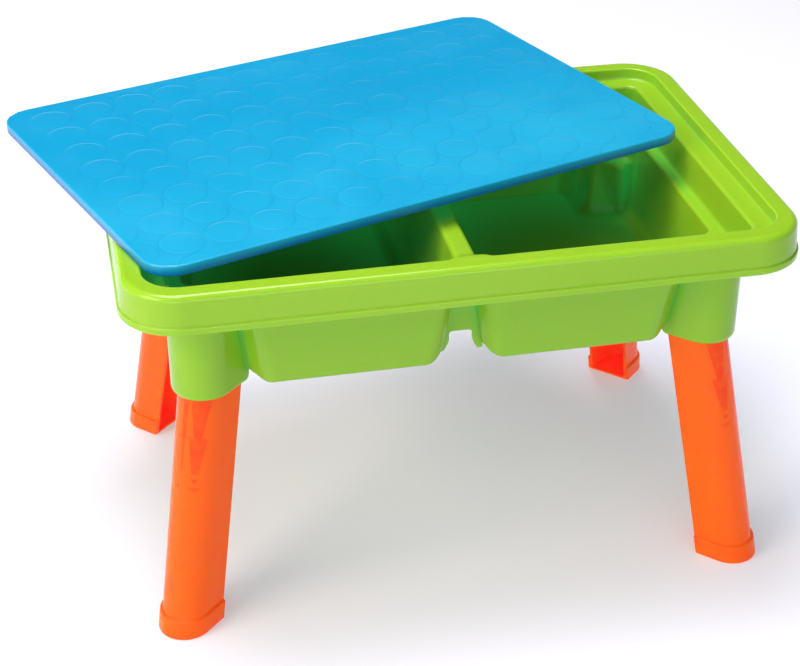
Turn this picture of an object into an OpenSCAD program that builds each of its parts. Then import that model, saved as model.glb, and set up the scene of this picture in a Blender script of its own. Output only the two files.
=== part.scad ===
/* [Tub rim] */
// Length of the rim top, outer edge to outer edge
rim_length = 448.4; // [420:0.1:500]
// Width of the rim top, outer edge to outer edge
rim_width = 311.4; // [290:0.1:340]
// Height of the rim top above the floor
rim_height = 270.7; // [255:0.1:300]
// Outer corner radius of the rim in plan
rim_corner_r = 38; // [34:0.5:48]
// Height of the skirt, rim top to bead lip
skirt_height = 25.9; // [18:0.1:32]
// Depth of the recess that the lid drops into
recess_depth = 8.5; // [6:0.1:12]
// Wall thickness of the tub
wall = 2.6; // [2:0.1:3.2]

/* [Compartments] */
// Height of the underside of the two bins above the floor
bin_bottom = 177.5; // [170:0.5:190]
// Outer half width of the bins at the bottom, across the table
bin_half_width = 117.4; // [112:0.1:118]
// Height of the step above the leg sockets
step_height = 238.5; // [232:0.5:244]
// Slope of the bin walls, degrees from vertical
draft = 7.5; // [6:0.1:8]
// Height of the top of the divider
divider_height = 256; // [250:0.5:260]
// Width of the notch in the web between the bins
notch_width = 16; // [12:0.5:18]
// Height of the top of the notch
notch_height = 194; // [188:0.5:200]

/* [Legs] */
// Half width of a leg across its channel
leg_half_width = 17.25; // [15:0.05:17.5]
// Wall thickness of a leg
leg_wall = 2.5; // [2:0.1:3]
// Splay of each leg along the corner diagonal, degrees from vertical
leg_splay = 12.82; // [11:0.01:14]
// Height of the band round the foot
band_height = 14; // [10:0.5:18]
// How far the band stands proud of the leg
band_proud = 1.9; // [1:0.1:2.5]
// Height of the mouth of the leg sockets above the floor
socket_mouth = 173.4; // [168:0.1:177]
// Height of the top of the sockets where they stand in the bins
socket_top = 222; // [216:0.5:228]
// Clearance between a leg and its socket ribs, each side
socket_gap = 0.2; // [0.1:0.05:0.4]

/* [Lid] */
// Length of the lid
lid_length = 416.4; // [410:0.1:417.4]
// Width of the lid
lid_width = 279.8; // [274:0.1:280.4]
// Overall thickness of the lid
lid_thickness = 8; // [6:0.5:8.5]
// Plate thickness of the lid inside its edge
lid_plate = 2.8; // [2.2:0.1:4]
// Corner radius of the lid in plan
lid_corner_r = 21; // [16:0.5:24]
// Turn of the lid as it lies across the rim, degrees
lid_turn = 19; // [16:0.1:20]
// Place of the lid's centre along the table
lid_x = -50.5; // [-56:0.1:-44]
// Place of the lid's centre across the table
lid_y = 66.1; // [60:0.1:70]

/* [Hidden] */
green = [0.56, 0.80, 0.22];
blue = [0.08, 0.62, 0.86];
orange = [0.96, 0.46, 0.14];

// centres of the plan corners that every rim profile turns about
cx = rim_length/2 - rim_corner_r;
cy = rim_width/2 - rim_corner_r;
top = rim_height;
ledge = rim_height - recess_depth;
skirt_bottom = rim_height - skirt_height;
k = tan(draft);
// middle of the box round the tub and the lid, which is put over the origin
turned_x = (lid_length/2 - lid_corner_r)*cos(lid_turn) + (lid_width/2 - lid_corner_r)*sin(lid_turn) + lid_corner_r;
turned_y = (lid_length/2 - lid_corner_r)*sin(lid_turn) + (lid_width/2 - lid_corner_r)*cos(lid_turn) + lid_corner_r;
middle_x = (min(-rim_length/2 - 2.5, lid_x - turned_x) + max(rim_length/2 + 2.5, lid_x + turned_x))/2;
middle_y = (min(-rim_width/2 - 2.5, lid_y - turned_y) + max(rim_width/2 + 2.5, lid_y + turned_y))/2;
step_r = 5.15;                       // radius of the upper walls where they meet the step
open_r = step_r + (ledge - step_height)*k;   // radius of the openings at the ledge

function arc(c, r, a0, a1, n) = [for (i = [0:n]) let (a = a0 + (a1 - a0)*i/n) [c[0] + r*cos(a), c[1] + r*sin(a)]];

// Sweeps a profile, drawn as (distance from the corner centre, height), round the tub
module round_the_tub() {
    for (i = [0:3])
        translate([(i == 0 || i == 3) ? cx : -cx, i < 2 ? cy : -cy, 0])
            rotate([0, 0, 90*i]) rotate_extrude(angle = 90, $fn = 96) children();
    for (s = [0, 180]) rotate([0, 0, s]) {
        translate([-cx, cy, 0]) rotate([90, 0, 90]) linear_extrude(2*cx) children();
        rotate([0, 0, -90]) translate([-cy, cx, 0]) rotate([90, 0, 90]) linear_extrude(2*cy) children();
    }
}

// Rim, skirt with its bead lip, recess wall, ledge and upper compartment wall
module rim_profile() {
    R = rim_corner_r;
    polygon(concat(
        [[R - 0.8, skirt_bottom], [R + 1.9, skirt_bottom], [R + 2.5, skirt_bottom + 0.7],
         [R + 2.5, skirt_bottom + 4.2], [R + 1.9, skirt_bottom + 4.9], [R + 1.3, skirt_bottom + 5.1]],
        arc([R - 4.7, top - 4.7], 4.7, 0, 90, 6),
        [[R - 13.8, top], [R - 14.5, top - 0.8], [R - 15.3, ledge]],
        [[open_r + 1.6, ledge], [open_r + 0.5, ledge - 0.5], [open_r - 0.2, ledge - 1.6]],
        [[step_r, step_height], [step_r, step_height - wall], [step_r + 2.9, step_height - wall]],
        [[open_r + 2.6, ledge - wall], [R - 15.3 + wall, ledge - wall], [R - 12.0, top - wall]],
        [[R - 3.0, top - wall], [R - 2.4, top - wall - 0.6]]));
}

// Plan of a rounded rectangle from squares and circles
module plan(l, w, r, n = 48) {
    square([l - 2*r, w], center = true);
    square([l, w - 2*r], center = true);
    for (x = [-1, 1], y = [-1, 1]) translate([x*(l/2 - r), y*(w/2 - r)]) circle(r, $fn = n);
}

// Outline of a rectangle from x1 to x2 with rounded corners
function outline(x1, x2, half, r, n) = concat(
    arc([x2 - r, half - r], r, 0, 90, n), arc([x1 + r, half - r], r, 90, 180, n),
    arc([x1 + r, r - half], r, 180, 270, n), arc([x2 - r, r - half], r, 270, 360, n));

// Box whose walls lean outward by the draft as they rise
module drafted(x1, x2, half, r, z0, z1) {
    c = (x1 + x2)/2; l = x2 - x1; w = 2*half; e = 2*k*(z1 - z0);
    translate([c, 0, z0]) linear_extrude(z1 - z0, scale = [(l + e)/l, (w + e)/w], slices = 1)
        polygon(outline(x1 - c, x2 - c, half, r, 4));
}

// One bin: the main well and its narrower end between the leg sockets, grown or shrunk by g
module well(g, z0, z1) {
    s = k*(z0 - bin_bottom);
    drafted(14.7 - s - g, 145.2 + s + g, bin_half_width + s + g, 16.5 + g, z0, z1);
    drafted(90 - s, 177.6 + s + g, 77.1 + s + g, 10 + g, z0, z1);
}

// Moves a finished piece from the tub's own centre to its place over the origin
module placed() {
    translate([-middle_x, -middle_y, 0]) children();
}

// Places a thing at one corner, with X pointing out along the diagonal
module corner(sx, sy) {
    mirror([sx < 0 ? 1 : 0, 0, 0]) mirror([0, sy < 0 ? 1 : 0, 0]) rotate([0, 0, 45]) children();
}

// Frame of one leg: X outward at right angles to the leg, Z up along it
leg_foot = [216.4, -48.1];
module leg_frame() {
    translate([leg_foot[0], leg_foot[1], 0]) rotate([1.0, -leg_splay, 0]) children();
}

// Outline of the leg section grown by g, with an open back when o is positive
module leg_section(g, o) {
    r = leg_half_width + g;
    translate([17.6, 0]) circle(r, $fn = 64);
    translate([-o, -r]) square([17.6 + o, 2*r]);
}

module leg_solid(g, o, z0, z1) {
    intersection() {
        leg_frame() translate([0, 0, -40]) linear_extrude(330) leg_section(g, o);
        translate([80, -120, z0]) cube([220, 150, z1 - z0]);
    }
}

leg_top = socket_top - wall;

module leg() {
    difference() {
        union() {
            leg_solid(0, 0, 0, leg_top);
            // band round the foot, following the splay
            intersection() {
                leg_frame() translate([0, 0, -40]) linear_extrude(80) leg_section(band_proud, 0);
                translate([80, -120, 0]) cube([220, 150, band_height]);
            }
        }
        leg_solid(-leg_wall, 20, 2.4, leg_top + 10);
    }
}

// Socket: an upright lobe with a leaning inner wall, up to the height z1
module lobe(g, z1) {
    z0 = socket_mouth + (g < 0 ? wall : 0);
    intersection() {
        translate([0, 0, z0]) linear_extrude(z1 - z0)
            union() {
                translate([196.6, -50.4]) circle(21.3 + g, $fn = 64);
                translate([130, -71.7 - g]) square([66.6, 42.6 + 2*g]);
            }
        leg_frame() translate([-3.2 - g, -60, -20]) cube([120, 120, 320]);
    }
}

module socket_room() {
    // prism that takes the leg
    leg_solid(socket_gap, 0.4, socket_mouth - 30, leg_top);
    // hollow round it, crossed by the ribs that hold the leg
    difference() {
        lobe(-2.8, step_height - wall);
        translate([150, -51.9, 0]) cube([90, 3, 300]);
        for (x = [6, 20]) leg_frame() translate([x, -40, -20]) cube([2.2, 80, 320]);
    }
}

module bins_outside() {
    for (m = [0, 1]) mirror([m, 0, 0]) well(0, bin_bottom, step_height - 1.1);
}

module bins_inside() {
    difference() {
        for (m = [0, 1]) mirror([m, 0, 0]) well(-wall, bin_bottom + wall, step_height + 0.7);
        for (sx = [-1, 1], sy = [-1, 1]) corner(sx, sy) lobe(0, socket_top);
    }
}

// Divider with sloping sides, lying along Y
module divider_block(h0, h1, w0, w1, len) {
    rotate([90, 0, 0]) translate([0, 0, -len/2]) linear_extrude(len)
        polygon([[-w0, h0], [w0, h0], [w1, h1], [-w1, h1]]);
}

module notch_web() {
    for (s = [0, 180]) rotate([0, 0, s]) difference() {
        translate([-16, -102.6, bin_bottom + 1]) cube([32, wall, divider_height - bin_bottom - 3]);
        translate([0, -90, 0]) rotate([90, 0, 0]) linear_extrude(30) {
            translate([-notch_width/2, bin_bottom - 20]) square([notch_width, notch_height - bin_bottom + 18]);
            translate([-notch_width/2 + 2, bin_bottom - 20]) square([notch_width - 4, notch_height - bin_bottom + 20]);
            for (x = [-1, 1]) translate([x*(notch_width/2 - 2), notch_height - 2]) circle(2, $fn = 24);
            polygon([[-notch_width/2, notch_height - 8], [-notch_width/2 - 4.5, bin_bottom], [-notch_width/2 - 8, bin_bottom - 10],
                     [notch_width/2 + 8, bin_bottom - 10], [notch_width/2 + 4.5, bin_bottom], [notch_width/2, notch_height - 8]]);
        }
    }
}

module tub() {
    color(green) placed() {
        difference() {
            union() {
                round_the_tub() rim_profile();
                translate([0, 0, step_height - wall]) linear_extrude(wall)
                    plan(2*(cx + step_r + 1), 2*(cy + step_r + 1), step_r + 1);
                bins_outside();
                for (sx = [-1, 1], sy = [-1, 1]) corner(sx, sy) lobe(0, step_height - wall + 1.8);
                divider_block(step_height - wall, divider_height, 7 + (divider_height - step_height + wall)*k, 7, 2*(cy + open_r));
                notch_web();
            }
            bins_inside();
            // socket rooms, which above the sockets' tops reach only to the outside of the bins
            difference() {
                for (sx = [-1, 1], sy = [-1, 1]) corner(sx, sy) socket_room();
                for (m = [0, 1]) mirror([m, 0, 0]) well(0, leg_top, step_height - 0.5);
            }
            // hollow under the divider, between the end webs
            divider_block(bin_bottom - 30, divider_height - wall, 14.7 + 30*k, 14.7 - (divider_height - wall - bin_bottom)*k, 2*100);
            for (s = [-1, 1]) translate([0, s*112.5, 0])
                divider_block(bin_bottom - 30, divider_height - wall, 14.7 + 30*k, 14.7 - (divider_height - wall - bin_bottom)*k, 19.8);
        }
    }
}

module lid() {
    color(blue) placed()
        translate([lid_x, lid_y, top]) rotate([0, 0, lid_turn]) difference() {
            union() {
                linear_extrude(lid_thickness - 1.2) plan(lid_length, lid_width, lid_corner_r);
                translate([0, 0, lid_thickness - 1.2]) linear_extrude(0.7)
                    plan(lid_length - 0.6, lid_width - 0.6, lid_corner_r - 0.3);
                translate([0, 0, lid_thickness - 0.5]) linear_extrude(0.5)
                    plan(lid_length - 1.8, lid_width - 1.8, lid_corner_r - 0.9);
            }
            translate([0, 0, -1]) linear_extrude(lid_thickness - lid_plate + 1)
                plan(lid_length - 2*wall, lid_width - 2*wall, lid_corner_r - wall);
        }
}

module leg_front_left() { color(orange) placed() corner(-1, -1) leg(); }
module leg_front_right() { color(orange) placed() corner(1, -1) leg(); }
module leg_rear_left() { color(orange) placed() corner(-1, 1) leg(); }
module leg_rear_right() { color(orange) placed() corner(1, 1) leg(); }

tub();
lid();
leg_front_left();
leg_front_right();
leg_rear_left();
leg_rear_right();
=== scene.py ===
import math
import bpy
import numpy as np
from mathutils import Matrix, Vector


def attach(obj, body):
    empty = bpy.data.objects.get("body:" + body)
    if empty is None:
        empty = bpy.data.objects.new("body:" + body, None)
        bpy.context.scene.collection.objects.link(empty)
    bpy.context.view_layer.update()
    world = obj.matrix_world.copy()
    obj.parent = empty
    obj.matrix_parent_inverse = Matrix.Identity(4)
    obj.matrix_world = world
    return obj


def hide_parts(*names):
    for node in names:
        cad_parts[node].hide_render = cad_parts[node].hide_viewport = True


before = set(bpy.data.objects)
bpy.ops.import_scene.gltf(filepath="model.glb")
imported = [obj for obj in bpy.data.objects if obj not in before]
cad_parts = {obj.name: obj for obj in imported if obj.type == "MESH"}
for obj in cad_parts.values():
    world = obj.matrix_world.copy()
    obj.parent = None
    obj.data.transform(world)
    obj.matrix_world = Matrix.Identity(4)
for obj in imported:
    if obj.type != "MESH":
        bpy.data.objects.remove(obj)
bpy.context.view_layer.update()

F = np.float32

# ---------------------------------------------------------------- solid shapes as distance fields, in mm
def cut(a, b, r):
    """what lies in both a and b, its edge rounded to radius r"""
    return np.minimum(-r, np.maximum(a, b)) + np.hypot(np.maximum(a + r, 0), np.maximum(b + r, 0))


def join(a, b, r):
    """what lies in a or b, the corner between them filled to radius r"""
    return np.maximum(r, np.minimum(a, b)) - np.hypot(np.maximum(r - a, 0), np.maximum(r - b, 0))


def box2(x, y, hx, hy, r):
    qx, qy = np.abs(x) - (hx - r), np.abs(y) - (hy - r)
    return np.hypot(np.maximum(qx, 0), np.maximum(qy, 0)) + np.minimum(np.maximum(qx, qy), 0) - r


CX, CY = 186.2, 117.7
TOP, LEDGE, STEP, FLOOR, SOCKET = 270.7, 262.2, 238.5, 180.1, 222.0
BESIDE = np.array([30.25557, -51.13426, 0.0])     # from the tub's own centre to its place in the shared frame
K = math.tan(math.radians(7.5))
CD = math.cos(math.radians(7.5))
TH = math.radians(12.82)
T = 2.6


def soft(t):
    t = np.clip(t, 0, 1)
    return t * t * (3 - 2 * t)


def divider_half(z):
    return 7.0 + (256.0 - z) * K


def pocket(X, Y, z):
    """the air above the tub: recess, openings and the two bins"""
    qx, qy = X - CX, Y - CY
    rho = np.hypot(np.maximum(qx, 0), np.maximum(qy, 0)) + np.minimum(np.maximum(qx, qy), 0)
    recess = cut(rho - (23.47 + (z - TOP) * 0.09), LEDGE - z, 1.6)
    upper = (rho - (5.15 + (z - STEP) * K)) * CD
    end = cut(upper, STEP - z, 2.5)
    end = np.maximum(end, 100 - X)
    s = z - 182.6
    front = (Y - (122.85 + (z - STEP) * K)) * CD
    out = (X - (143.2 + K * s)) * CD
    flat = (X + Y - 248.3 - 2 * K * s) * 0.70710678
    main = cut(cut(out, front, 1.5), flat, 1.2)
    ext = cut((X - (175.6 + K * s)) * CD, (Y - (75.1 + K * s)) * CD, 7.5 + 0.3 * K * s)
    walls = join(main, ext, 5.0)
    mid = (divider_half(z) - X) * CD
    walls = cut(walls, mid, 10.5 + 4.0 * soft((z - 205) / 45))
    u, v = (X + Y) * 0.70710678, (X - Y) * 0.70710678
    lean = (213.12 - 0.2276 * z - u) * math.cos(TH)
    lobe = cut(cut(lean, v - 71.7, 5.0), 29.1 - v, 5.0)
    lobe = cut(lobe, z - SOCKET, 3.5)
    walls = cut(walls, -lobe, 3.5)
    # the floor meets the front and back walls crisply and the end walls in a wide curve
    well = cut(walls, FLOOR - z, 9.4 - 8.4 * soft((front - np.maximum(out, mid)) / 22.8 + 0.5))
    near = np.clip(-front / 5.0, 0.004, 1)
    above = np.maximum(cut(front, 255.8 - z, 18.0), X - 32)
    low = join(above, well, 3.0 * near)
    mid = join(end, low, 2.2 * near)
    air = join(recess, mid, 2.2)
    return air, rho


def lobe_2d(X, Y, z):
    u, v = (X + Y) * 0.70710678, (X - Y) * 0.70710678
    d = np.hypot(np.maximum(u - 196.6, 0), v - 50.4) - 21.3
    lean = (213.12 - 0.2276 * z - u) * math.cos(TH)
    return d, lean, v


def leg_axes(X, Y, z):
    """leg frame at the corner with X and Y positive: p outward, q across, w along the leg"""
    u, v = (X + Y) * 0.70710678, (X - Y) * 0.70710678
    a, b, c = u - 216.4, -(v - 48.1), z
    # inverse of rotate([1, -12.82, 0]): x first, then y
    ct, st = math.cos(TH), math.sin(TH)
    x1, z1 = a * ct + c * st, -a * st + c * ct
    cr, sr = math.cos(math.radians(1.0)), math.sin(math.radians(1.0))
    return x1, b * cr + z1 * sr, -b * sr + z1 * cr


def leg_section(p, q, r):
    return np.hypot(np.maximum(p - 17.6, 0), q) - r


def tub(x, y, z):
    X, Y = np.abs(x), np.abs(y)
    air, rho = pocket(X, Y, z)
    side = rho - (38.0 + np.maximum(266.0 - z, 0) * 0.0807)
    block = cut(side, z - TOP, 4.7)
    block = cut(block, -air, 1.1)
    shell = np.maximum(block, -(block + T))
    skirt_air = np.maximum(30 - rho, z - 244.8)
    shell = cut(shell, -skirt_air, 0.3)
    bead = box2(rho - 38.65, z - 247.3, 1.85, 2.5, 1.1)
    body = np.minimum(shell, bead)
    groove = np.hypot(rho - 39.62, z - 250.55) - 0.62
    body = np.maximum(body, -groove)
    # leg sockets
    d, lean, v = lobe_2d(X, Y, z)
    outer = cut(cut(d, lean, 4.0), 173.4 - z, 4.0)
    outer = np.maximum(outer, z - (STEP - 1.0))
    room = cut(cut(d + 2.7, lean + 2.7, 2.0), 176.1 - z, 2.0)
    room = np.maximum(np.maximum(room, z - 235.9), np.minimum(z - (SOCKET - T), block + T))
    p, q, w = leg_axes(X, Y, z)
    ribs = np.minimum(np.minimum(np.abs(v - 50.4) - 1.5, np.abs(p - 7.1) - 1.2), np.abs(p - 21.1) - 1.2)
    room = np.maximum(room, -ribs)
    leg_room = np.maximum(leg_section(p, q, 17.5), -0.35 - p)
    leg_room = np.maximum(leg_room, z - (SOCKET - T))
    body = join(body, outer, 2.0)
    # web between the bins
    dh = divider_half(z) - 1.4
    slab = cut(np.abs(Y - 101.3) - 1.3, 179.0 - z, 0.8)
    slab = np.maximum(slab, z - 254.5)
    slab = np.maximum(slab, X - dh)
    half = 8.0 + 0.137 * np.maximum(188.0 - z, 0) ** 1.5
    notch = cut(X - half, z - 194.0, 2.5)
    slab = cut(slab, -notch, 0.6)
    body = join(body, slab, 1.2)
    body = np.maximum(body, -air)
    body = cut(body, -room, 0.3)
    body = cut(body, -leg_room, 0.4)
    return body


def leg(x, y, z):
    p, q, w = leg_axes(x, y, z)
    outside = np.maximum(leg_section(p, q, 17.25), -p)
    outside = np.maximum(outside, z - (SOCKET - T))
    band = cut(leg_section(p, q, 19.15), z - 14.0, 1.3)
    band = cut(band, -p, 0.8)
    solid = join(outside, band, 0.5)
    solid = cut(solid, -z, 1.2)
    inside = np.maximum(leg_section(p, q, 14.75), 2.4 - z)
    return cut(solid, -inside, 0.8)


# ---------------------------------------------------------------- mesh of a distance field
def ticks(*parts):
    """grid lines: parts are (end, step), starting from the first number"""
    out = [parts[0]]
    for end, step in parts[1:]:
        n = max(1, int(round((end - out[-1]) / step)))
        out += list(np.linspace(out[-1], end, n + 1)[1:])
    return np.array(out, F)


def surface(f, xs, ys, zs):
    nx, ny, nz = len(xs), len(ys), len(zs)
    d = np.empty((nx, ny, nz), F)
    for i in range(0, nx, 24):
        gx, gy, gz = np.meshgrid(xs[i:i + 24], ys, zs, indexing="ij")
        d[i:i + 24] = f(gx, gy, gz)
    s = d < 0
    n = np.zeros((nx - 1, ny - 1, nz - 1), np.int8)
    for a in (0, 1):
        for b in (0, 1):
            for c in (0, 1):
                n += s[a:nx - 1 + a, b:ny - 1 + b, c:nz - 1 + c]
    I, J, Kz = np.nonzero((n > 0) & (n < 8))
    index = np.full(n.shape, -1, np.int32)
    index[I, J, Kz] = np.arange(len(I))
    corner = {(a, b, c): (d[I + a, J + b, Kz + c], np.stack([xs[I + a], ys[J + b], zs[Kz + c]], 1))
              for a in (0, 1) for b in (0, 1) for c in (0, 1)}
    total, count = np.zeros((len(I), 3)), np.zeros(len(I))
    for ca in corner:
        for ax in range(3):
            if ca[ax]:
                continue
            cb = tuple(1 if m == ax else ca[m] for m in range(3))
            (da, pa), (db, pb) = corner[ca], corner[cb]
            m = (da < 0) != (db < 0)
            t = np.where(m, da / np.where(m, da - db, 1), 0)[:, None]
            total += np.where(m[:, None], pa + t * (pb - pa), 0)
            count += m
    verts = total / count[:, None]
    quads = []
    for ax in range(3):
        lo = [slice(None)] * 3
        hi = [slice(None)] * 3
        lo[ax], hi[ax] = slice(0, -1), slice(1, None)
        a, b = s[tuple(lo)], s[tuple(hi)]
        e = np.argwhere(a != b)
        o1, o2 = (ax + 1) % 3, (ax + 2) % 3
        shape = n.shape
        ok = (e[:, o1] > 0) & (e[:, o2] > 0) & (e[:, o1] < shape[o1]) & (e[:, o2] < shape[o2])
        e = e[ok]
        flip = ~a[tuple(e.T)]
        def cell(s1, s2):
            c = e.copy()
            c[:, o1] -= s1
            c[:, o2] -= s2
            return index[tuple(c.T)]
        q = np.stack([cell(1, 1), cell(0, 1), cell(0, 0), cell(1, 0)], 1)
        q[flip] = q[flip][:, ::-1]
        quads.append(q)
    return verts, np.concatenate(quads)


def slope(f, p, e=0.12):
    p = p.astype(np.float64)
    g = np.empty_like(p)
    for ax in range(3):
        o = np.zeros(3)
        o[ax] = e
        a, b = p + o, p - o
        g[:, ax] = (f(a[:, 0], a[:, 1], a[:, 2]) - f(b[:, 0], b[:, 1], b[:, 2])) / (2 * e)
    return g


def settle(f, p, times=3, limit=0.6, fixed=()):
    for _ in range(times):
        g = slope(f, p)
        d = f(p[:, 0], p[:, 1], p[:, 2])
        step = -(d / np.maximum((g * g).sum(1), 0.2))[:, None] * g
        size = np.sqrt((step * step).sum(1))[:, None]
        step *= np.minimum(1, limit / np.maximum(size, 1e-9))
        for ax in fixed:
            step[np.abs(p[:, ax]) < 1e-4, ax] = 0
        p = p + step
    return p


def raw_mesh(verts, faces, name="raw"):
    me = bpy.data.meshes.new(name)
    me.vertices.add(len(verts))
    me.vertices.foreach_set("co", np.asarray(verts, F).ravel())
    n = faces.shape[1]
    me.loops.add(faces.size)
    me.loops.foreach_set("vertex_index", faces.astype(np.int32).ravel())
    me.polygons.add(len(faces))
    me.polygons.foreach_set("loop_start", np.arange(0, faces.size, n, dtype=np.int32))
    me.update(calc_edges=True)
    return me


def thin_out(verts, faces, ratio):
    me = raw_mesh(verts, faces)
    ob = bpy.data.objects.new("raw", me)
    bpy.context.scene.collection.objects.link(ob)
    m = ob.modifiers.new("edge_highlight", "DECIMATE")
    m.ratio = ratio
    m.use_collapse_triangulate = True
    dg = bpy.context.evaluated_depsgraph_get()
    ev = ob.evaluated_get(dg).to_mesh()
    v = np.empty(len(ev.vertices) * 3, F)
    ev.vertices.foreach_get("co", v)
    t = np.empty(len(ev.loops), np.int32)
    ev.loops.foreach_get("vertex_index", t)
    ob.evaluated_get(dg).to_mesh_clear()
    bpy.data.objects.remove(ob)
    bpy.data.meshes.remove(me)
    return v.reshape(-1, 3).astype(np.float64), t.reshape(-1, 3)


def mirrored(v, t, nrm, sx, sy):
    s = np.array([sx, sy, 1.0])
    t = t if sx * sy > 0 else t[:, ::-1]
    return v * s, t, nrm * s


def weld(parts):
    v = np.concatenate([p[0] for p in parts])
    nrm = np.concatenate([p[2] for p in parts])
    off = np.cumsum([0] + [len(p[0]) for p in parts])
    t = np.concatenate([p[1] + o for p, o in zip(parts, off)])
    key = np.round(v / 0.002).astype(np.int64)
    seam = (np.abs(v[:, 0]) < 1e-3) | (np.abs(v[:, 1]) < 1e-3)
    key[~seam] = np.stack([np.arange((~seam).sum()) + 10**9] * 3, 1)
    _, first, inv = np.unique(key, axis=0, return_index=True, return_inverse=True)
    inv = inv.ravel()
    t = inv[t]
    t = t[(t[:, 0] != t[:, 1]) & (t[:, 1] != t[:, 2]) & (t[:, 0] != t[:, 2])]
    return v[first], t, nrm[first]


def piece(name, v, t, nrm, axes=None):
    me = raw_mesh((v + BESIDE) * 0.001, t, name)
    me.polygons.foreach_set("use_smooth", np.ones(len(me.polygons), bool))
    nrm = nrm / np.maximum(np.sqrt((nrm * nrm).sum(1))[:, None], 1e-9)
    me.normals_split_custom_set_from_vertices(nrm.astype(F))
    if axes is not None:
        at = me.attributes.new("axes", "FLOAT_VECTOR", "POINT")
        at.data.foreach_set("vector", np.asarray(axes, F).ravel())
    me.validate()
    ob = bpy.data.objects.new(name, me)
    bpy.context.scene.collection.objects.link(ob)
    return ob


# ---------------------------------------------------------------- tub
def make_tub(ratio):
    xs = ticks(-0.6, (0.6, 1.2), (20, 1.0), (140, 1.6), (222, 1.1), (228.3, 0.6))
    ys = ticks(-0.8, (0.8, 1.6), (96, 1.6), (154, 1.1), (159.6, 0.6))
    zs = ticks(171.8, (186, 0.9), (236, 1.4), (244, 1.0), (251.4, 0.5), (258, 1.1), (272, 0.7))
    v, q = surface(tub, xs, ys, zs)
    for ax in (0, 1):
        v[np.abs(v[:, ax]) < 0.3, ax] = 0
    v = settle(tub, v, 3, 0.5, (0, 1))
    v, t = thin_out(v, q, ratio)
    for ax in (0, 1):
        v[np.abs(v[:, ax]) < 0.02, ax] = 0
    v = settle(tub, v, 2, 0.3, (0, 1))
    n = slope(tub, v)
    v, t, n = weld([mirrored(v, t, n, sx, sy) for sx, sy in ((1, 1), (-1, 1), (-1, -1), (1, -1))])
    ob = piece("tub_shell", v, t, n)
    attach(ob, "table")
    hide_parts("tub")
    return ob


# ---------------------------------------------------------------- legs
def leg_point(p, q, w):
    """from the leg's own axes to the corner with X and Y positive"""
    cr, sr = math.cos(math.radians(1.0)), math.sin(math.radians(1.0))
    ct, st = math.cos(TH), math.sin(TH)
    y, z = q * cr - w * sr, q * sr + w * cr
    a, c = p * ct - z * st, p * st + z * ct
    u, v = a + 216.4, 48.1 - y
    return (u + v) * 0.70710678, (u - v) * 0.70710678, c


def make_legs(ratio):
    ps = ticks(-1.5, (2, 0.6), (14, 1.2), (38.5, 0.8))
    qs = ticks(-20.6, (-14.4, 0.6), (14.4, 1.2), (20.6, 0.6))
    ws = ticks(-9.5, (9, 0.8), (20, 0.6), (219, 2.4), (232, 1.4))
    own = lambda p, q, w: leg(*leg_point(p, q, w))
    v, f = surface(own, ps, qs, ws)
    v = settle(own, v, 3, 0.5)
    v, t = thin_out(v, f, ratio)
    v = settle(own, v, 2, 0.3)
    axes = v[:, [1, 2, 0]].copy()
    v = np.stack(leg_point(v[:, 0], v[:, 1], v[:, 2]), 1)
    n = slope(leg, v)
    made = []
    for name, sx, sy in (("leg_front_left", -1, -1), ("leg_front_right", 1, -1),
                         ("leg_rear_left", -1, 1), ("leg_rear_right", 1, 1)):
        ob = piece(name + "_shell", *mirrored(v, t, n, sx, sy), axes)
        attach(ob, "table")
        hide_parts(name)
        made.append(ob)
    return made


# ---------------------------------------------------------------- lid
LL, LW, LT, LR = 416.34, 279.74, 8.0, 21.0
PX, PY, NXT, NYT = 32.3, 32.1, 12, 8
SINK = 0.72                          # how far the mean top surface lies under the CAD top


def relief(x, y):
    """height of the lid's top over its mean level: discs, a mark at the gate and slow waves"""
    ix = np.clip(np.round(x / PX - 0.5), -NXT / 2, NXT / 2 - 1) + 0.5
    iy = np.clip(np.round(y / PY - 0.5), -NYT / 2, NYT / 2 - 1) + 0.5
    r = np.hypot(x - ix * PX, y - iy * PY)
    side = np.clip(0.5 - x / 260.0 - y / 500.0, 0, 1)
    much = 0.48 + 0.52 * side * side * (3 - 2 * side) * (0.75 + 0.25 * np.sin(x / 37.0 + 1.9) * np.cos(y / 31.0 + 0.4))
    edge = np.clip((14.75 - r) / 1.2, 0, 1)
    h = 0.12 * much * edge * edge * (3 - 2 * edge) - 0.09 * much * np.exp(-((r - 15.1) / 0.7) ** 2)
    h = h + 0.13 * much * np.clip(1 - (r / 14.3) ** 2, 0, 1)
    h = h + 0.20 * np.sin(x / 29.0 + 0.9 * np.sin(y / 31.0)) * np.cos(y / 23.0 + 0.6)
    g = np.hypot(x - 15.8, y + 16.0)
    h = h - 0.42 * np.exp(-(g / 1.5) ** 2) + 0.10 * np.exp(-((g - 3.2) / 1.2) ** 2)
    wave = np.exp(-((x - 8.0) / 45.0) ** 2 - ((y + 10.0) / 34.0) ** 2)
    h = h + 0.10 * wave * np.sin(y / 4.6 + 0.8 * np.sin(x / 17.0) + x / 40.0)
    fade = np.clip((LL / 2 - 3 - np.abs(x)) / 8, 0, 1) * np.clip((LW / 2 - 3 - np.abs(y)) / 8, 0, 1)
    return h * fade


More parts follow.
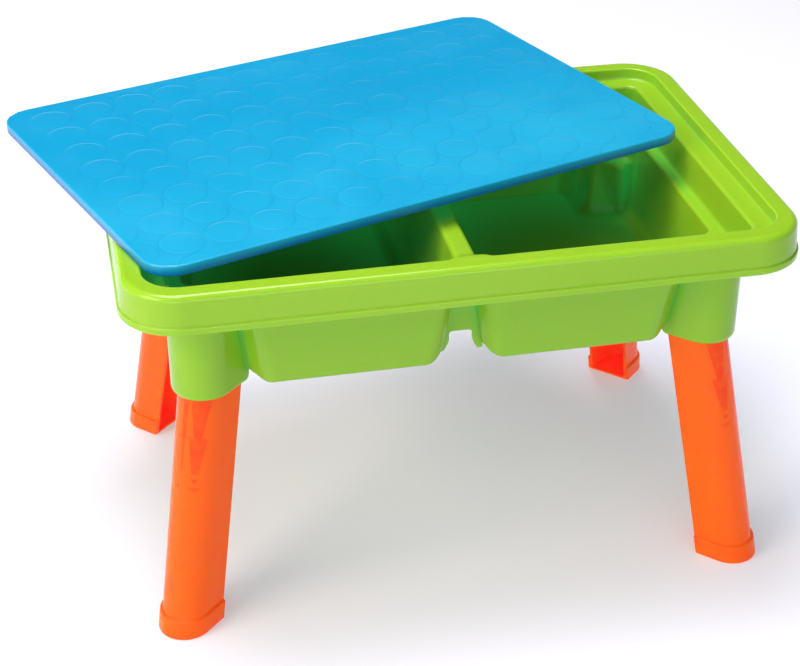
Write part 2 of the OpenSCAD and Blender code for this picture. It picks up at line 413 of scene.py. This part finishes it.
def tile_grid(seg, radii, height, slope_of):
    """one polar patch per disc, edge to edge; returns points, normals, quads and the loop round the outside"""
    side = seg // 4
    pts, nrm, quads, seen = [], [], [], {}

    def add(x, y):
        key = (round(x * side / PX), round(y * side / PY))
        if key not in seen:
            seen[key] = len(pts)
            pts.append((x, y, height(x, y, None)))
            nrm.append(slope_of(x, y, None))
        return seen[key]

    square = []
    for i in range(seg):
        s, j = divmod(i, side)
        f = -1 + 2 * j / side
        square.append([(1, f), (-f, 1), (-1, -f), (f, -1)][s])
    for a in range(NXT):
        for b in range(NYT):
            cx, cy = (a - NXT / 2 + 0.5) * PX, (b - NYT / 2 + 0.5) * PY
            rows = []
            for r in radii:
                row = []
                for i in range(seg):
                    sx, sy = square[i]
                    t = math.atan2(sy, sx)
                    row.append(len(pts))
                    x, y = cx + r * math.cos(t), cy + r * math.sin(t)
                    pts.append((x, y, height(x, y, r)))
                    nrm.append(slope_of(x, y, r))
                rows.append(row)
            rows.append([add(cx + sx * PX / 2, cy + sy * PY / 2) for sx, sy in square])
            mid = len(pts)
            pts.append((cx, cy, height(cx, cy, 0)))
            nrm.append(slope_of(cx, cy, 0))
            for i in range(seg):
                n = (i + 1) % seg
                quads.append((mid, rows[0][i], rows[0][n]))
                for lo, hi in zip(rows, rows[1:]):
                    quads.append((lo[i], hi[i], hi[n], lo[n]))
    hx, hy = NXT * PX / 2, NYT * PY / 2
    loop = []
    for i in range(NXT * side):
        loop.append((-hx + i * PX / side, -hy))
    for i in range(NYT * side):
        loop.append((hx, -hy + i * PY / side))
    for i in range(NXT * side):
        loop.append((hx - i * PX / side, hy))
    for i in range(NYT * side):
        loop.append((-hx, hy - i * PY / side))
    return pts, nrm, quads, [seen[(round(x * side / PX), round(y * side / PY))] for x, y in loop], loop


def outline_of(loop, inset):
    """the lid's outline, inset, with one point and outward direction for each point of the loop"""
    hx, hy = NXT * PX / 2, NYT * PY / 2
    bx, by = LL / 2 - LR, LW / 2 - LR
    out = []
    for x, y in loop:
        sx, sy = (1 if x >= 0 else -1), (1 if y >= 0 else -1)
        on_x = abs(abs(y) - hy) < 1e-6            # on a side along X
        if on_x and abs(x) <= bx:
            d, c = (0, sy), (x, sy * by)
        elif abs(abs(x) - hx) < 1e-6 and abs(y) <= by:
            d, c = (sx, 0), (sx * bx, y)
        else:
            if on_x:
                a = 90 - 45 * (abs(x) - bx) / (hx - bx)
            else:
                a = 45 * (abs(y) - by) / (hy - by)
            a = math.radians(a)
            d, c = (sx * math.cos(a), sy * math.sin(a)), (sx * bx, sy * by)
        out.append((c[0] + d[0] * (LR - inset), c[1] + d[1] * (LR - inset), d))
    return out


def make_lid():
    top = LT - SINK

    def h_top(x, y, r):
        return top + float(relief(np.float64(x), np.float64(y)))

    def n_top(x, y, r):
        e = 0.25
        a = (relief(x + e, y) - relief(x - e, y)) / (2 * e)
        b = (relief(x, y + e) - relief(x, y - e)) / (2 * e)
        return (-float(a), -float(b), 1.0)

    pts, nrm, faces, rim, loop = tile_grid(32, (7.0, 11.5, 13.6, 13.95, 14.3, 14.75, 15.3), h_top, n_top)
    n_loop = len(loop)

    def ring(inset, z, nz, flat=False):
        start = len(pts)
        for x, y, d in outline_of(loop, inset):
            pts.append((x, y, z if not flat else h_top(x, y, None)))
            if flat:
                nrm.append(n_top(x, y, None))
            else:
                s = math.sqrt(max(0.0, 1 - nz * nz))
                nrm.append((d[0] * s, d[1] * s, nz))
        return list(range(start, start + n_loop))

    rows = [rim, ring(6.0, 0, 1, True), ring(2.6, top, 1.0)]
    r = 1.2
    for i in range(7):
        a = math.radians(15 * i)
        rows.append(ring(r - r * math.sin(a), top - r + r * math.cos(a), math.cos(a)))
    rows.append(ring(0.0, 0.7, 0.0))
    for i in range(1, 4):
        a = math.radians(30 * i)
        rows.append(ring(0.6 - 0.6 * math.cos(a), 0.6 - 0.6 * math.sin(a), -math.sin(a)))
    rows.append(ring(2.0, 0.0, -1.0))
    rows.append(ring(2.5, 0.5, 0.0))
    for i in rows[-1]:
        nrm[i] = tuple(-c for c in nrm[i - n_loop * 6][:2]) + (-0.2,)
    rows.append(ring(2.9, 4.4, 0.0))
    for i in rows[-1]:
        nrm[i] = tuple(-c for c in nrm[i - n_loop * 7][:2]) + (-0.1,)
    rows.append(ring(3.6, 5.2, -1.0))
    rows.append(ring(6.0, 5.2, -1.0))
    for lo, hi in zip(rows, rows[1:]):
        for i in range(n_loop):
            n = (i + 1) % n_loop
            faces.append((lo[i], hi[i], hi[n], lo[n]))
    # underside with one ring rib under each disc
    under = 5.2
    rib = {12.2: (under, -1), 12.7: (under - 0.4, None), 12.8: (under - 2.6, None), 13.2: (under - 3.0, -1),
           14.0: (under - 3.0, -1), 14.35: (under - 2.6, None), 14.45: (under - 0.4, None), 14.9: (under, -1)}

    def h_low(x, y, r):
        return rib[r][0] if r in rib else under

    def n_low(x, y, r):
        if r in rib and rib[r][1] is None:
            ix = math.floor(x / PX) + 0.5
            iy = math.floor(y / PY) + 0.5
            d = np.array([x - ix * PX, y - iy * PY])
            d = d / np.linalg.norm(d) * (1 if r > 13.5 else -1)
            return (d[0], d[1], -0.25)
        return (0.0, 0.0, -1.0)

    p2, n2, f2, rim2, loop2 = tile_grid(32, tuple(sorted(rib)), h_low, n_low)
    off = len(pts)
    pts += p2
    nrm += n2
    faces += [tuple(i + off for i in reversed(f)) for f in f2]
    last, first = rows[-1], [i + off for i in rim2]
    for i in range(n_loop):
        n = (i + 1) % n_loop
        faces.append((last[i], first[i], first[n], last[n]))
    v, n = np.array(pts, float), np.array(nrm, float)
    a = math.radians(19.0)
    turn = np.array([[math.cos(a), -math.sin(a), 0], [math.sin(a), math.cos(a), 0], [0, 0, 1]])
    board = v.copy()
    v = v @ turn.T + np.array([-50.5, 66.1, TOP]) + BESIDE
    n = n @ turn.T
    me = bpy.data.meshes.new("lid_board")
    me.from_pydata((v * 0.001).tolist(), [], faces)
    me.polygons.foreach_set("use_smooth", np.ones(len(me.polygons), bool))
    n = n / np.sqrt((n * n).sum(1))[:, None]
    me.normals_split_custom_set_from_vertices(n.astype(F))
    at = me.attributes.new("axes", "FLOAT_VECTOR", "POINT")
    at.data.foreach_set("vector", np.asarray(board, F).ravel())
    me.validate()
    ob = bpy.data.objects.new("lid_board", me)
    bpy.context.scene.collection.objects.link(ob)
    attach(ob, "lid")
    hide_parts("lid")
    return ob


# ---------------------------------------------------------------- materials
class Tree:
    def __init__(self, name):
        self.mat = bpy.data.materials.new(name)
        self.mat.use_nodes = True
        self.t = self.mat.node_tree
        self.b = self.t.nodes["Principled BSDF"]

    def node(self, kind, **settings):
        n = self.t.nodes.new(kind)
        for k, v in settings.items():
            if k in n.inputs:
                n.inputs[k].default_value = v
            else:
                setattr(n, k, v)
        return n

    def link(self, a, b):
        self.t.links.new(a, b)

    def noise(self, coord, scale, detail=2.0, rough=0.5):
        n = self.node("ShaderNodeTexNoise")
        n.inputs["Scale"].default_value = scale
        n.inputs["Detail"].default_value = detail
        n.inputs["Roughness"].default_value = rough
        self.link(coord, n.inputs["Vector"])
        return n.outputs["Fac"]

    def ramp(self, fac, a, b, ca, cb):
        r = self.node("ShaderNodeValToRGB")
        r.color_ramp.elements[0].position, r.color_ramp.elements[1].position = a, b
        r.color_ramp.elements[0].color, r.color_ramp.elements[1].color = (*ca, 1), (*cb, 1)
        self.link(fac, r.inputs["Fac"])
        return r.outputs["Color"]

    def math(self, op, a, b=None, clamp=False):
        m = self.node("ShaderNodeMath", operation=op, use_clamp=clamp)
        for i, v in enumerate((a, b)):
            if v is None:
                continue
            if isinstance(v, (int, float)):
                m.inputs[i].default_value = v
            else:
                self.link(v, m.inputs[i])
        return m.outputs[0]

    def map(self, v, a, b, c, d, smooth=True):
        m = self.node("ShaderNodeMapRange", interpolation_type="SMOOTHSTEP" if smooth else "LINEAR")
        self.link(v, m.inputs["Value"])
        for k, x in zip(("From Min", "From Max", "To Min", "To Max"), (a, b, c, d)):
            m.inputs[k].default_value = x
        return m.outputs["Result"]

    def mix(self, fac, a, b, blend="MIX"):
        m = self.node("ShaderNodeMix", data_type="RGBA", blend_type=blend)
        if isinstance(fac, (int, float)):
            m.inputs[0].default_value = fac
        else:
            self.link(fac, m.inputs[0])
        for i, v in ((6, a), (7, b)):
            if isinstance(v, tuple):
                m.inputs[i].default_value = (*v, 1)
            else:
                self.link(v, m.inputs[i])
        return m.outputs[2]


def plastic(name, low, high, rough=(0.26, 0.34), peel=0.1, sub=0.0, radius=(1, 1, 1), depth=0.003, spec=0.5,
            low_shade=None, corner_shade=None, reach=0.06, corner_shade_from=0.25, corner_shade_to=0.95, crease=None, edge_highlight=None):
    """moulded polypropylene: slow colour drift, fine flow mottling, orange-peel bump, soft gloss; on request painted
    shade in low parts, corners and creases, a painted glow in corners and painted highlights on thin edges
    """
    m = Tree(name)
    co = m.node("ShaderNodeTexCoord").outputs["Object"]
    drift = m.noise(co, 7.0, 2.0, 0.5)
    fine = m.noise(co, 150.0, 2.0, 0.5)
    both = m.math("ADD", m.math("MULTIPLY", drift, 0.85), m.math("MULTIPLY", fine, 0.15))
    colour = m.ramp(both, 0.3, 0.7, low, high)
    if low_shade:
        # painted shade: the bins and sockets below the rim are given a darker, greener tone than the rim, standing in
        # for the shade they lie in
        up = m.node("ShaderNodeSeparateXYZ")
        m.link(co, up.inputs[0])
        colour = m.mix(m.map(up.outputs["Z"], 0.212, 0.242, 0.0, 1.0), low_shade, colour)
    if corner_shade:
        # painted shade: inside corners and recesses, found by ambient occlusion, are given a deeper, darker green and
        # a faint painted green glow
        ao = m.node("ShaderNodeAmbientOcclusion", samples=8)
        ao.inputs["Distance"].default_value = reach
        colour = m.mix(m.map(ao.outputs["AO"], corner_shade_from, corner_shade_to, 0.0, 1.0), corner_shade, colour)
        m.b.inputs["Emission Color"].default_value = (0.06, 1.0, 0.22, 1)
        m.link(m.map(ao.outputs["AO"], corner_shade_from, corner_shade_to, 0.105, 0.0), m.b.inputs["Emission Strength"])
    if crease:
        # narrow creases hold less light
        near = m.node("ShaderNodeAmbientOcclusion", samples=6)
        near.inputs["Distance"].default_value = 0.005
        colour = m.mix(m.map(near.outputs["AO"], 0.3, 0.72, 0.75, 0.0), colour, crease)
    if edge_highlight:
        # painted highlight: thin outer edges are given a lighter yellow-green, standing in for light that leaves the
        # tinted wall there
        lip = m.node("ShaderNodeAmbientOcclusion", samples=6, inside=True)
        lip.inputs["Distance"].default_value = 0.0016
        colour = m.mix(m.map(lip.outputs["AO"], 0.35, 0.85, 0.7, 0.0), colour, edge_highlight)
    m.link(colour, m.b.inputs["Base Color"])
    rub = m.noise(co, 30.0, 3.0, 0.6)
    m.link(m.map(rub, 0.35, 0.7, rough[0], rough[1]), m.b.inputs["Roughness"])
    bump = m.node("ShaderNodeBump")
    bump.inputs["Strength"].default_value = peel
    bump.inputs["Distance"].default_value = 0.0003
    wave = m.noise(co, 45.0, 2.0, 0.4)
    grain = m.noise(co, 600.0, 2.0, 0.5)
    m.link(m.math("ADD", m.math("MULTIPLY", wave, 0.8), m.math("MULTIPLY", grain, 0.06)), bump.inputs["Height"])
    m.link(bump.outputs["Normal"], m.b.inputs["Normal"])
    m.b.inputs["Specular IOR Level"].default_value = spec
    m.b.inputs["IOR"].default_value = 1.49
    if sub:
        m.b.inputs["Subsurface Weight"].default_value = sub
        m.b.inputs["Subsurface Radius"].default_value = radius
        m.b.inputs["Subsurface Scale"].default_value = depth
    m.colour = colour
    return m


def srgb(r, g, b):
    f = lambda c: (c / 255) / 12.92 if c / 255 <= 0.04045 else ((c / 255 + 0.055) / 1.055) ** 2.4
    return (f(r), f(g), f(b))


green = plastic("green_plastic", (0.222, 0.412, 0.014), (0.236, 0.424, 0.018), peel=0.05, sub=0.4, radius=(0.25, 1.0, 0.3), depth=0.005,
                spec=0.35, low_shade=(0.204, 0.398, 0.013), corner_shade=(0.045, 0.50, 0.05), reach=0.11, corner_shade_from=0.05, corner_shade_to=0.66, rough=(0.17, 0.23),
                crease=(0.055, 0.27, 0.02), edge_highlight=(0.40, 0.54, 0.04))
blue = plastic("blue_plastic", srgb(0, 132, 181), srgb(0, 137, 185), rough=(0.2, 0.27), peel=0.04, spec=0.32)
# painted shade: the lid's colour runs darker towards the bottom of its standing edge and under the lid
at = blue.node("ShaderNodeAttribute", attribute_name="axes").outputs["Vector"]
sep_b = blue.node("ShaderNodeSeparateXYZ")
blue.link(at, sep_b.inputs[0])
edge = blue.map(sep_b.outputs["Z"], 0.5, 7.0, 0.0, 1.0)
# painted highlight: the lid is mixed towards a lighter blue in soft patches, more towards its front edge, standing in
# for reflected light
painted_highlight = blue.math("MULTIPLY", blue.map(blue.noise(at, 0.011, 2.0, 0.5), 0.25, 0.70, 0.4, 1.0), blue.map(sep_b.outputs["Y"], 60.0, -110.0, 0.05, 0.9))
body = blue.mix(painted_highlight, blue.colour, (0.012, 0.315, 0.545))
# painted shade: the fine groove round each disc is given a little darker blue
gx = blue.math("MULTIPLY", blue.math("SUBTRACT", blue.math("FRACT", blue.math("DIVIDE", sep_b.outputs["X"], PX)), 0.5), PX)
gy = blue.math("MULTIPLY", blue.math("SUBTRACT", blue.math("FRACT", blue.math("DIVIDE", sep_b.outputs["Y"], PY)), 0.5), PY)
gr = blue.math("SQRT", blue.math("ADD", blue.math("MULTIPLY", gx, gx), blue.math("MULTIPLY", gy, gy)))
groove = blue.map(blue.math("ABSOLUTE", blue.math("SUBTRACT", gr, 15.0)), 0.25, 1.0, 1.0, 0.0)
groove = blue.math("MULTIPLY", groove, blue.map(blue.noise(at, 0.028, 2.0, 0.5), 0.36, 0.6, 0.12, 0.75))
groove = blue.math("MULTIPLY", groove, blue.map(sep_b.outputs["Z"], 6.0, 6.6, 0.0, 1.0))
body = blue.mix(blue.math("MULTIPLY", groove, 0.5), body, (0.0, 0.20, 0.42))
blue.link(blue.mix(edge, (0.0, 0.105, 0.34), body), blue.b.inputs["Base Color"])
orange = plastic("orange_plastic", (0.56, 0.112, 0.001), (0.585, 0.121, 0.002), peel=0.05, sub=1.0, radius=(1.0, 0.05, 0.03), depth=0.02, spec=0.16, rough=(0.2, 0.27))
# faint marks that the moulded leg shows below its socket, set out along (w) and across (q) the leg: real marks, with
# the shade of these shallow marks painted as a darker red
at = orange.node("ShaderNodeAttribute", attribute_name="axes").outputs["Vector"]
sep_o = orange.node("ShaderNodeSeparateXYZ")
orange.link(at, sep_o.inputs[0])
marks_and_shade = None
for lo, hi, mid_q, half_lo, half_hi in ((141.6, 190.0, 8.9, 2.4, 8.0), (116.0, 140.6, 8.7, 2.0, 5.3), (109.6, 112.6, 8.6, 0.9, 2.0),
                                        (102.8, 106.2, 8.5, 0.2, 4.3), (140.7, 142.0, 3.9, 9.8, 9.8), (117.0, 190.0, -0.6, 0.5, 3.2),
                                        (104.0, 106.0, -3.0, 0.5, 1.2)):
    half = orange.map(sep_o.outputs["Y"], lo, hi, half_lo, half_hi, False)
    across = orange.math("ABSOLUTE", orange.math("SUBTRACT", sep_o.outputs["X"], mid_q))
    inside = orange.map(orange.math("SUBTRACT", half, across), -0.3, 0.45, 0.0, 1.0)
    ends = orange.math("MULTIPLY", orange.map(sep_o.outputs["Y"], lo - 0.4, lo + 0.4, 0.0, 1.0), orange.map(sep_o.outputs["Y"], hi - 0.4, hi + 0.4, 1.0, 0.0))
    one = orange.math("MULTIPLY", inside, ends)
    marks_and_shade = one if marks_and_shade is None else orange.math("MAXIMUM", marks_and_shade, one)
soften = orange.math("MULTIPLY", marks_and_shade, orange.map(orange.noise(at, 0.12, 2.0, 0.5), 0.3, 0.6, 0.5, 1.0))
orange.link(orange.mix(soften, orange.colour, (0.55, 0.058, 0.002)), orange.b.inputs["Base Color"])
# painted glow: the legs give off red light all over, most strongly in the channel and other hollows, standing in for
# light that has come through the thin wall
ao = orange.node("ShaderNodeAmbientOcclusion", samples=8)
ao.inputs["Distance"].default_value = 0.05
orange.b.inputs["Emission Color"].default_value = (1.0, 0.008, 0.02, 1)
orange.link(orange.map(ao.outputs["AO"], 0.3, 0.85, 0.36, 0.15), orange.b.inputs["Emission Strength"])

tub_ob = make_tub(0.3)
tub_ob.data.materials.append(green.mat)
for o in make_legs(0.16):
    o.data.materials.append(orange.mat)
lid_ob = make_lid()
lid_ob.data.materials.append(blue.mat)


# ---------------------------------------------------------------- floor, light, camera
def floor():
    me = bpy.data.meshes.new("floor")
    s = 1.7
    me.from_pydata([(-s, -s, -0.0002), (s, -s, -0.0002), (s, s, -0.0002), (-s, s, -0.0002)], [], [(0, 1, 2, 3)])
    ob = bpy.data.objects.new("floor", me)
    bpy.context.scene.collection.objects.link(ob)
    m = Tree("floor_white")
    co = m.node("ShaderNodeTexCoord").outputs["Object"]
    m.link(m.ramp(m.noise(co, 3.0), 0.3, 0.7, (0.575, 0.57, 0.705), (0.59, 0.585, 0.72)), m.b.inputs["Base Color"])
    m.b.inputs["Roughness"].default_value = 0.9
    m.b.inputs["Emission Color"].default_value = (1, 1, 1, 1)
    m.b.inputs["Emission Strength"].default_value = 0.28
    m.b.inputs["Specular IOR Level"].default_value = 0.1
    me.materials.append(m.mat)


def area(name, place, target, size, power, colour=(1, 1, 1)):
    li = bpy.data.lights.new(name, "AREA")
    li.shape = "RECTANGLE"
    li.size, li.size_y = size
    li.energy = power
    li.color = colour
    ob = bpy.data.objects.new(name, li)
    bpy.context.scene.collection.objects.link(ob)
    ob.location = place
    ob.rotation_euler = (Vector(target) - Vector(place)).to_track_quat("-Z", "Y").to_euler()
    return ob


floor()
area("overhead", (-0.25, 0.3, 2.3), (0, 0, 0.1), (1.3, 1.0), 55, (1.0, 0.985, 0.95))
area("left", (-1.5, -0.75, 1.2), (0, 0, 0.2), (1.1, 0.8), 28, (1.0, 0.80, 0.58))
area("low_fill", (-0.1, -1.7, 0.6), (0, 0, 0.1), (1.8, 0.6), 9, (0.86, 1.0, 0.98))

world = bpy.data.worlds.new("studio")
bpy.context.scene.world = world
world.use_nodes = True
wt = world.node_tree
wd = wt.nodes.new("ShaderNodeTexCoord").outputs["Generated"]


def wmath(op, a, b=None, c=None):
    m = wt.nodes.new("ShaderNodeMath")
    m.operation = op
    for i, v in enumerate((a, b, c)):
        if isinstance(v, (int, float)):
            m.inputs[i].default_value = v
        elif v is not None:
            wt.links.new(v, m.inputs[i])
    return m.outputs[0]


def wmap(v, a, b, c, d):
    m = wt.nodes.new("ShaderNodeMapRange")
    m.interpolation_type = "SMOOTHSTEP"
    wt.links.new(v, m.inputs["Value"])
    for k, x in zip(("From Min", "From Max", "To Min", "To Max"), (a, b, c, d)):
        m.inputs[k].default_value = x
    return m.outputs["Result"]


sep = wt.nodes.new("ShaderNodeSeparateXYZ")
wt.links.new(wd, sep.inputs[0])
wx, wy, wz = sep.outputs
face = wmath("ADD", wmath("ADD", wmath("MULTIPLY", wx, -0.45), wmath("MULTIPLY", wy, -0.55)), wmath("MULTIPLY", wz, 0.6))
sky = wmap(face, -0.35, 0.75, 0.06, 0.5)
low = wmap(wmath("ADD", wmath("MULTIPLY", wx, -0.8), wmath("MULTIPLY", wy, 0.1)), -0.8, 0.8, 0.55, 1.9)
mixed = wmath("ADD", wmath("MULTIPLY", sky, wmap(wz, 0.08, 0.3, 0.0, 1.0)), wmath("MULTIPLY", low, wmap(wz, 0.08, 0.3, 1.0, 0.0)))
wt.links.new(mixed, wt.nodes["Background"].inputs["Strength"])
wt.nodes["Background"].inputs["Color"].default_value = (0.92, 1.0, 1.04, 1)

cam = bpy.data.cameras.new("camera")
cam.sensor_fit = "HORIZONTAL"
cam.sensor_width = 36.0
cam.lens = 1741.753 / 800 * 36
cam.shift_x = -(423.617 - 400) / 800
cam.shift_y = (333.169 - 333) / 800
cam.clip_start, cam.clip_end = 0.01, 100
cam_ob = bpy.data.objects.new("camera", cam)
bpy.context.scene.collection.objects.link(cam_ob)
yaw, pitch, roll = 0.22271, 0.53450, 0.006819
fwd = Vector((math.sin(yaw) * math.cos(pitch), math.cos(yaw) * math.cos(pitch), -math.sin(pitch)))
right = Vector((math.cos(yaw), -math.sin(yaw), 0))
up = right.cross(fwd)
cx_ = math.cos(roll) * right + math.sin(roll) * up
cy_ = -math.sin(roll) * right + math.cos(roll) * up
rot = Matrix((cx_, cy_, -fwd)).transposed()
cam_ob.matrix_world = Matrix.Translation((-0.24789 + BESIDE[0] * 0.001, -1.08355 + BESIDE[1] * 0.001, 0.79065)) @ rot.to_4x4()
bpy.context.scene.camera = cam_ob

bpy.context.scene.view_settings.view_transform = "Standard"
bpy.context.scene.view_settings.look = "None"
